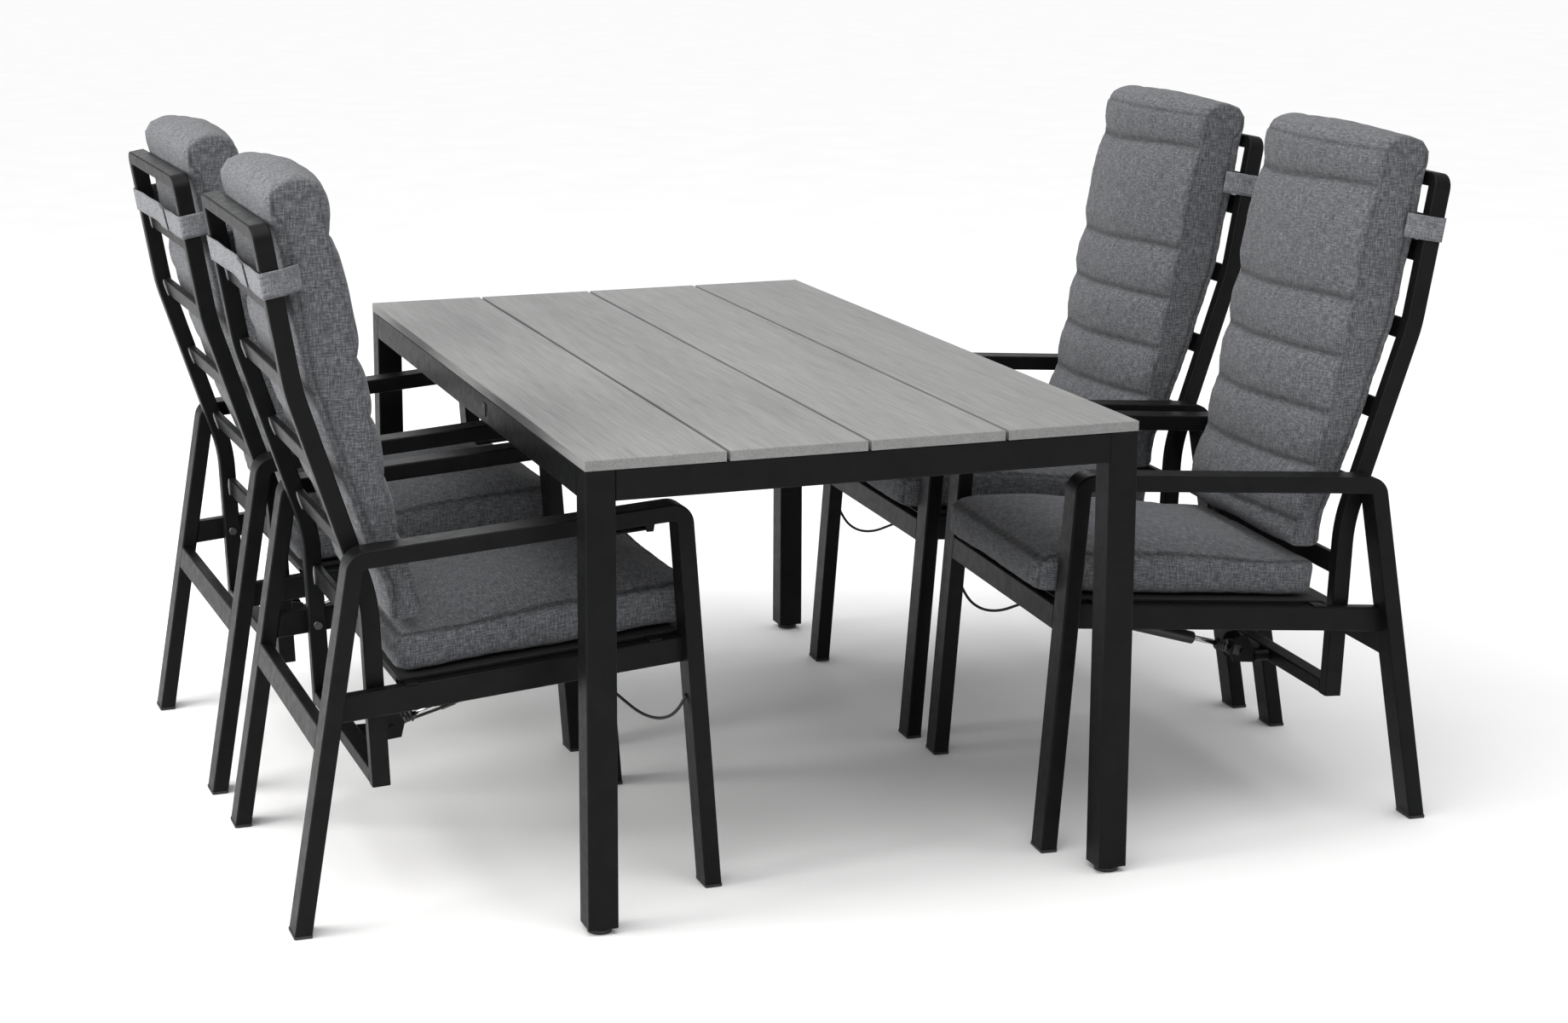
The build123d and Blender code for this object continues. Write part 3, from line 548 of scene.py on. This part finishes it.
# back cushion: x forward, z up, in the chair's own frame
back = {
    "rear": [(-0.170, 0.470), (-0.176, 0.520), (-0.208, 0.600), (-0.291, 0.850), (-0.327, 1.050), (-0.334, 1.085),
             (-0.341, 1.105), (-0.342, 1.122), (-0.331, 1.140)],
    "front": [(-0.305, 1.150), (-0.285, 1.150), (-0.266, 1.143), (-0.253, 1.128), (-0.247, 1.108), (-0.245, 1.080),
              (-0.222, 0.992), (-0.210, 0.913), (-0.195, 0.825), (-0.145, 0.576), (-0.112, 0.484), (-0.122, 0.468),
              (-0.158, 0.463)],
    "frontLine": [(-0.285, 1.150), (-0.253, 1.128), (-0.245, 1.080), (-0.222, 0.992), (-0.210, 0.913), (-0.195, 0.825),
                  (-0.145, 0.576), (-0.112, 0.484)],
    "rearLimit": [(-0.176, 0.40), (-0.178, 0.462), (-0.183, 0.520), (-0.2145, 0.600), (-0.2975, 0.850),
                  (-0.3335, 1.080), (-0.352, 1.100), (-0.352, 1.200)],
    "slats": [0.4365, 0.5665, 0.6955, 0.8275, 0.9575],
    "creases": [0.510, 0.600, 0.690, 0.785, 0.878, 1.066],
    "halfWidth": 0.205,
    "widest": 0.2145,
    "crown": 0.020,
    "rearBulge": 0.007,
    "voxel": 0.006,
    "pressure": 4.0,
    "cap": 0.018,
    "creaseDepth": 0.0095,
    "lowest": 0.4555,
}


def lineAt(line, height):
    rising = sorted((z, x) for x, z in line)
    return np.interp(height, [z for z, x in rising], [x for z, x in rising])


def rearLimit(where):
    between = np.ones(len(where))
    for slat in back["slats"]:
        between *= smoothStep(0.024, 0.055, np.abs(where[:, 2] - slat))
    inside = 1 - smoothStep(0.180, 0.198, np.abs(where[:, 1]))
    free = (1 - smoothStep(0.99, 1.01, where[:, 2])) * smoothStep(0.47, 0.50, where[:, 2])
    return lineAt(back["rearLimit"], where[:, 2]) - back["rearBulge"] * between * inside * free


def makeBack():
    bm = bmesh.new()
    outline = [bm.verts.new((x, -back["halfWidth"], z)) for x, z in back["rear"] + back["front"]]
    face = bm.faces.new(outline)
    grown = bmesh.ops.extrude_face_region(bm, geom=[face])
    moved = [item for item in grown["geom"] if isinstance(item, bmesh.types.BMVert)]
    bmesh.ops.translate(bm, vec=(0, 2 * back["halfWidth"], 0), verts=moved)
    bmesh.ops.recalc_face_normals(bm, faces=bm.faces)
    rim = [edge for edge in bm.edges if abs(edge.verts[0].co.y - edge.verts[1].co.y) < 0.001]
    roundEdges(bm, rim, 0.006, 3)
    piece = toObject(bm, "back_cushion_form")
    remesh(piece, back["voxel"])
    where = points(piece.data)
    front = lineAt(back["frontLine"], where[:, 2])
    rear = lineAt(back["rearLimit"], where[:, 2])
    forward = where[:, 0] > front - 0.02
    crease = np.zeros(len(where), bool)
    for height in back["creases"]:
        crease |= (np.abs(where[:, 2] - height) < 0.004) & forward
    side = np.abs(where[:, 1]) > back["halfWidth"] - 0.006
    seam = side & (np.abs(where[:, 0] - rear - 0.034) < 0.005)
    ends = (where[:, 0] < rear + 0.010) | (where[:, 0] > front - 0.010) | (where[:, 2] > 1.132)
    piping = (np.abs(where[:, 1]) > back["halfWidth"] - 0.007) & ends
    resting = (where[:, 0] < rear + 0.014) & (where[:, 2] < 1.04)
    arch = 1 - (where[:, 1] / back["halfWidth"]) ** 2
    ahead = np.clip((where[:, 0] - rear) / np.maximum(front - rear, 0.02), 0, 1)
    where[:, 0] += back["crown"] * arch * ahead * smoothStep(0.455, 0.53, where[:, 2])
    where[:, 2] += 0.006 * arch * smoothStep(1.06, 1.15, where[:, 2])
    setPoints(piece.data, where)
    puff(piece, crease | seam | piping | resting, back["pressure"], back["cap"])
    subdivide(piece)
    where = points(piece.data)
    out = normals(piece.data)
    z = where[:, 2]
    front = lineAt(back["frontLine"], z)
    rear = lineAt(back["rearLimit"], z)
    facing = smoothStep(-0.05, 0.55, out[:, 0]) * smoothStep(-0.045, 0.0, where[:, 0] - front + 0.01)
    groove = np.zeros(len(where))
    swell = np.zeros(len(where))
    wander = 0.004 * np.sin(where[:, 1] * 9) + 0.002 * lumps(where, 16, 8.3)
    for height in back["creases"]:
        gap = z - height - wander
        groove = np.maximum(groove, np.exp(-(gap / 0.0050) ** 2))
        swell += np.exp(-(gap / 0.020) ** 2)
    depth = back["creaseDepth"] * (0.4 * groove + 0.6 * swell)
    wrinkle = lumps(where * np.array([1, 1, 0.35]), 46, 4.4)
    ruck = 0.0016 * np.maximum(0, wrinkle) * np.minimum(1, swell) * (1 - groove)
    where -= out * ((depth + ruck) * facing)[:, None]
    sideways = smoothStep(0.5, 0.9, np.abs(out[:, 1]))
    seamLine = np.exp(-((where[:, 0] - rear - 0.020) / 0.0026) ** 2) * sideways
    lower = np.exp(-((where[:, 0] - front + 0.010) / 0.0026) ** 2) * sideways * 0.7
    head = np.exp(-((z - 1.128) / 0.0028) ** 2) * smoothStep(0.2, 0.6, out[:, 0])
    where -= out * (0.0022 * seamLine + 0.0014 * lower + 0.0016 * head)[:, None]
    where += out * (0.0028 * lumps(where, 9, 2.3) + 0.0013 * lumps(where, 30, 6.1))[:, None]
    bulging = (1 - smoothStep(0.0, 0.03, where[:, 0] - rear)) * (rear - rearLimit(where))
    where[:, 0] -= bulging
    where[:, 1] = np.clip(where[:, 1], -back["widest"], back["widest"])
    where[:, 0] = np.maximum(where[:, 0], rearLimit(where))
    where[:, 2] = np.maximum(where[:, 2], back["lowest"])
    setPoints(piece.data, where)
    # painted shade in the front creases and along the side, lower and head seams
    markPaintedSeamShade(piece.data, np.clip(groove * facing * 0.8 + seamLine * 0.8 + lower * 0.5 + head * 0.7, 0, 1))
    clothUv(piece)
    smoothShade(piece)
    return piece


def placeCushions():
    forms = {"seat_cushion": makeSeat(), "back_cushion": makeBack()}
    print("cushions sewn")
    for number, chair in enumerate(chairs):
        for kind, form in forms.items():
            piece = form.copy()
            piece.data = form.data.copy()
            piece.name = f"{chair}_{kind}_cover"
            bpy.context.scene.collection.objects.link(piece)
            where = points(piece.data)
            own = 0.0016 * lumps(where, 7, 11.0 * (number + 1))  # each cushion sits a little differently
            if kind == "back_cushion":
                own = own * smoothStep(0, 0.02, np.minimum(where[:, 2] - 0.47, 1.2 - where[:, 2]))
                where[:, 0] += own * smoothStep(0.02, 0.05, where[:, 0] - lineAt(back["rearLimit"], where[:, 2]))
            else:
                own = own * smoothStep(0.41, 0.45, where[:, 2] - 0.08 * where[:, 0])
                where[:, 2] += own * smoothStep(-0.08, 0.02, where[:, 0])
            setPoints(piece.data, where)
            piece.data.transform(places[chair])
            dress(piece, "cushion_fabric", f"{chair}_{'chair' if kind == 'seat_cushion' else 'back'}")
            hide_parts(f"{chair}_{kind}")
    for form in forms.values():
        bpy.data.objects.remove(form)


# the strap round each back frame, with its hook-and-loop lap behind
strap = {
    "height": 0.040,
    "thick": 0.0016,
    "centre": 0.998,
    "lean": radians(9.75),
    "line": -0.3406,
    "behind": -0.0168,
    "side": 0.2283,
    "ahead": 0.046,
    "corner": 0.004,
    "lapLength": 0.058,
    "lapAt": -0.035,
}


def strapPath():
    ahead, behind, side, corner = strap["ahead"], strap["behind"], strap["side"], strap["corner"]
    path = [Vector((ahead, side - 0.016)), Vector((ahead - 0.022, side - 0.0035)), Vector((ahead - 0.03, side))]
    for step in range(7):
        turn = step / 6 * pi / 2
        path.append(Vector((behind + corner - corner * sin(turn), side - corner + corner * cos(turn))))
    return path + [Vector((p.x, -p.y)) for p in reversed(path)]


def ribbon(name, line, height, thick, lift=0.0):
    spans = [0.0]
    for before, after in zip(line, line[1:]):
        spans.append(spans[-1] + (after - before).length)
    count = max(8, int(spans[-1] / 0.004))
    rows = 6
    bm = bmesh.new()
    bmesh.ops.create_grid(bm, x_segments=count, y_segments=rows, size=0.5)
    threads = bm.loops.layers.uv.new("threads")
    for vert in bm.verts:
        along = (vert.co.x + 0.5) * spans[-1]
        index = min(len(line) - 2, max(i for i, span in enumerate(spans) if span <= along + 1e-9))
        part = (along - spans[index]) / (spans[index + 1] - spans[index])
        spot = line[index].lerp(line[index + 1], part)
        up = vert.co.y * height
        between = 1 - min(1, abs(spot.y) / 0.21) ** 2
        spot = Vector((spot.x + (0.006 * between if spot.x < -0.01 else 0), spot.y))
        wave = 0.0012 * sin(spot.y * 41 + up * 60) * between
        vert.co = (spot.x + wave + lift, spot.y, up - 0.004 * between + 0.0015 * sin(spot.y * 17))
        for loop in vert.link_loops:
            loop[threads].uv = (along, up)
    piece = toObject(bm, name)
    solid = piece.modifiers.new("Solidify", "SOLIDIFY")
    solid.thickness = thick
    solid.offset = 0
    bake(piece)
    return piece


def placeStraps():
    lean = Matrix.Translation((strap["line"], 0, strap["centre"])) @ Matrix.Rotation(-strap["lean"], 4, "Y")
    for number, chair in enumerate(chairs):
        band = ribbon(f"{chair}_strap_band", strapPath(), strap["height"], strap["thick"])
        at = strap["lapAt"] + 0.012 * (number - 1)
        half = strap["lapLength"] / 2
        lapLine = [Vector((strap["behind"] - 0.0022, at + half)), Vector((strap["behind"] - 0.0022, at)),
                   Vector((strap["behind"] - 0.0030, at - half))]
        lap = ribbon(f"{chair}_strap_lap", lapLine, strap["height"] * 0.98, strap["thick"])
        for piece in (band, lap):
            # painted shade along the strap's two hems
            hem = np.abs(points(piece.data)[:, 2] + 0.002) - strap["height"] / 2 + 0.003
            markPaintedSeamShade(piece.data, np.exp(-(hem / 0.0008) ** 2) * 0.5)
            piece.data.transform(places[chair] @ lean)
            smoothShade(piece)
            dress(piece, "strap_fabric", f"{chair}_back")
        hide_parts(f"{chair}_back_strap")


# the release cable, from the leg's grommet to the gas spring's head
cable = {
    "thick": 0.005,
    "route": [(0.2926, -0.252, 0.315), (0.283, -0.245, 0.287), (0.262, -0.224, 0.269), (0.237, -0.196, 0.272),
              (0.214, -0.163, 0.292), (0.190, -0.124, 0.314), (0.160, -0.085, 0.328), (0.121, -0.052, 0.325),
              (0.077, -0.030, 0.303), (0.026, -0.021, 0.281), (-0.032, -0.019, 0.261), (-0.091, -0.0175, 0.245)],
}


def smoothRoute(route, name):
    curve = bpy.data.curves.new(name, "CURVE")
    curve.dimensions = "3D"
    curve.resolution_u = 24
    spline = curve.splines.new("NURBS")
    spline.points.add(len(route) - 1)
    for point, place in zip(spline.points, route):
        point.co = (*place, 1)
    spline.order_u = 3
    spline.use_endpoint_u = True
    holder = bpy.data.objects.new(name, curve)
    bpy.context.scene.collection.objects.link(holder)
    mesh = bpy.data.meshes.new_from_object(holder)
    line = [vert.co.copy() for vert in mesh.vertices]
    bpy.data.objects.remove(holder)
    return line


def tubeAlong(line, radius, name, sides=14):
    bm = bmesh.new()
    bm.loops.layers.uv.new("threads")
    ring = bmesh.ops.create_circle(bm, cap_ends=True, radius=radius, segments=sides)["verts"]
    ahead = (line[1] - line[0]).normalized()
    turn = ahead.to_track_quat("Z", "Y")
    bmesh.ops.transform(bm, matrix=Matrix.Translation(line[0]) @ turn.to_matrix().to_4x4(), verts=ring)
    face = bm.faces[:][0]
    for index in range(1, len(line)):
        following = (line[min(index + 1, len(line) - 1)] - line[index - 1]).normalized()
        swing = ahead.rotation_difference(following)
        grown = bmesh.ops.extrude_face_region(bm, geom=[face])
        if index > 1:
            bmesh.ops.delete(bm, geom=[face], context="FACES_ONLY")
        face = next(item for item in grown["geom"] if isinstance(item, bmesh.types.BMFace))
        bmesh.ops.translate(bm, vec=line[index] - line[index - 1], verts=face.verts)
        bmesh.ops.rotate(bm, cent=line[index], matrix=swing.to_matrix(), verts=face.verts)
        ahead = following
    bmesh.ops.recalc_face_normals(bm, faces=bm.faces)
    return toObject(bm, name)


def placeCables():
    for chair in chairs:
        route = [places[chair] @ Vector(point) for point in cable["route"]]
        line = smoothRoute(route, f"{chair}_cable_route")
        piece = tubeAlong(line, cable["thick"] / 2, f"{chair}_cable")
        smoothShade(piece)
        dress(piece, "cable_jacket", None)
        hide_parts(f"{chair}_release_cable")
        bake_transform(piece)


# weld beads where the slats meet the uprights
weld = {
    "places": [(-0.2030, 0.4365, -0.04), (-0.2246, 0.5665, -0.3), (-0.2670, 0.6955, -0.33), (-0.3102, 0.8275, -0.3),
               (-0.3340, 0.9575, -0.17)],  # x, z and the lean of the upright there
    "inner": 0.202,
    "length": 0.033,
    "radius": 0.0024,
}


def weldBead(bm, centre, way, length, radius):
    made = bmesh.ops.create_uvsphere(bm, u_segments=8, v_segments=14, radius=1)["verts"]
    turn = Vector(way).to_track_quat("Z", "Y").to_matrix().to_4x4()
    for vert in made:
        ripple = 1 + 0.12 * sin(vert.co.z * 34)
        vert.co = (vert.co.x * radius * ripple, vert.co.y * radius * ripple, vert.co.z * length / 2)
    bmesh.ops.transform(bm, matrix=Matrix.Translation(centre) @ turn, verts=made)


def placeWelds():
    for chair in chairs:
        bm = bmesh.new()
        for x, z, lean in weld["places"]:
            for side in (-1, 1):
                weldBead(bm, (x, side * weld["inner"], z), (lean, 0, 1), weld["length"], weld["radius"])
        piece = toObject(bm, f"{chair}_back_welds")
        smoothShade(piece)
        piece.data.transform(places[chair])
        dress(piece, "frame_metal", f"{chair}_back")
        # painted highlight: the beads take the light weld finish instead of the frame coat
        piece.data.materials[0] = finishes["weld"]


# gas spring's release head, lock nut, collar, rod and the blank label on its cylinder
spring = {
    "rear": (-0.128, 0.234),
    "front": (0.235, 0.340),
    "rod": [(0.0395, 0.0036), (0.0395, 0.0040), (0.148, 0.0040), (0.148, 0.0036)],
    "collar": [(0.028, 0.0070), (0.028, 0.0088), (0.0295, 0.0092), (0.0335, 0.0092), (0.0345, 0.0082), (0.036, 0.0082),
               (0.0365, 0.0108), (0.0395, 0.0108), (0.0400, 0.0100), (0.0400, 0.0092), (0.042, 0.0090), (0.042, 0.0060)],
    "nut": (0.0105, 0.0075, 0.0240),  # radius, thickness, place along the spring
    "headBlock": ((0.023, 0.025, 0.033), (0.0, 0, 0.0030), 0.0025),  # size, centre, rounding
    "valveBlock": ((0.010, 0.019, 0.014), (0.0155, 0, 0.0100), 0.0015),
    "label": (0.112, 0.132),
    "labelRadius": 0.01115,
}


def springPlace():
    rear, front = (Vector((x, 0, z)) for x, z in (spring["rear"], spring["front"]))
    return Matrix.Translation(rear) @ (front - rear).to_track_quat("Z", "Y").to_matrix().to_4x4()


def turned(bm, profile, steps=28):
    verts = [bm.verts.new((radius, 0, along)) for along, radius in profile]
    edges = [bm.edges.new(pair) for pair in zip(verts, verts[1:])]
    bmesh.ops.spin(bm, geom=verts + edges, cent=(0, 0, 0), axis=(0, 0, 1), angle=2 * pi, steps=steps, use_merge=True)
    bmesh.ops.remove_doubles(bm, verts=bm.verts, dist=1e-6)
    bmesh.ops.holes_fill(bm, edges=bm.edges)
    bmesh.ops.recalc_face_normals(bm, faces=bm.faces)


def softBlock(bm, size, centre, bevel):
    made = bmesh.ops.create_cube(bm, size=1)["verts"]
    bmesh.ops.scale(bm, vec=size, verts=made)
    bmesh.ops.translate(bm, vec=centre, verts=made)
    edges = list({edge for vert in made for edge in vert.link_edges})
    roundEdges(bm, edges, bevel, 3)


def placeSprings():
    along = springPlace()
    for chair in chairs:
        pieces = {}
        bm = bmesh.new()
        turned(bm, spring["rod"])
        pieces["rod"] = (bm, "polished_rod")
        bm = bmesh.new()
        turned(bm, spring["collar"])
        pieces["collar"] = (bm, "black_plastic")
        bm = bmesh.new()
        radius, thick, nutPlace = spring["nut"]
        made = bmesh.ops.create_cone(bm, cap_ends=True, segments=6, radius1=radius, radius2=radius, depth=thick)["verts"]
        bmesh.ops.translate(bm, vec=(0, 0, nutPlace), verts=made)
        roundEdges(bm, list(bm.edges), 0.0007, 2)
        pieces["lock_nut"] = (bm, "fastener_steel")
        bm = bmesh.new()
        softBlock(bm, *spring["headBlock"])
        softBlock(bm, *spring["valveBlock"])
        pieces["release_head"] = (bm, "black_plastic")
        for kind, (bm, slot) in pieces.items():
            piece = toObject(bm, f"{chair}_spring_{kind}")
            smoothShade(piece)
            piece.data.transform(places[chair] @ along)
            dress(piece, slot, f"{chair}_gas_rod")
            if kind == "rod":
                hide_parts(f"{chair}_gas_rod")
        bm = bmesh.new()
        start, end = spring["label"]
        verts = [bm.verts.new((0, spring["labelRadius"], spot)) for spot in (start, end)]
        edge = bm.edges.new(verts)
        bmesh.ops.spin(bm, geom=verts + [edge], cent=(0, 0, 0), axis=(0, 0, 1), angle=pi, steps=20)
        piece = toObject(bm, f"{chair}_spring_label")
        wall = piece.modifiers.new("Solidify", "SOLIDIFY")
        wall.thickness = 0.0002
        wall.offset = 1
        bake(piece)
        smoothShade(piece)
        piece.data.transform(places[chair] @ along)
        dress(piece, "black_cylinder", f"{chair}_gas_cylinder")
        piece.data.materials[0] = finishes["label"]


makeStudio()
makeCamera()
placeCushions()
placeStraps()
print("straps on")
placeWelds()
placeSprings()
print("springs and welds made")
placeCables()
print("cables run")
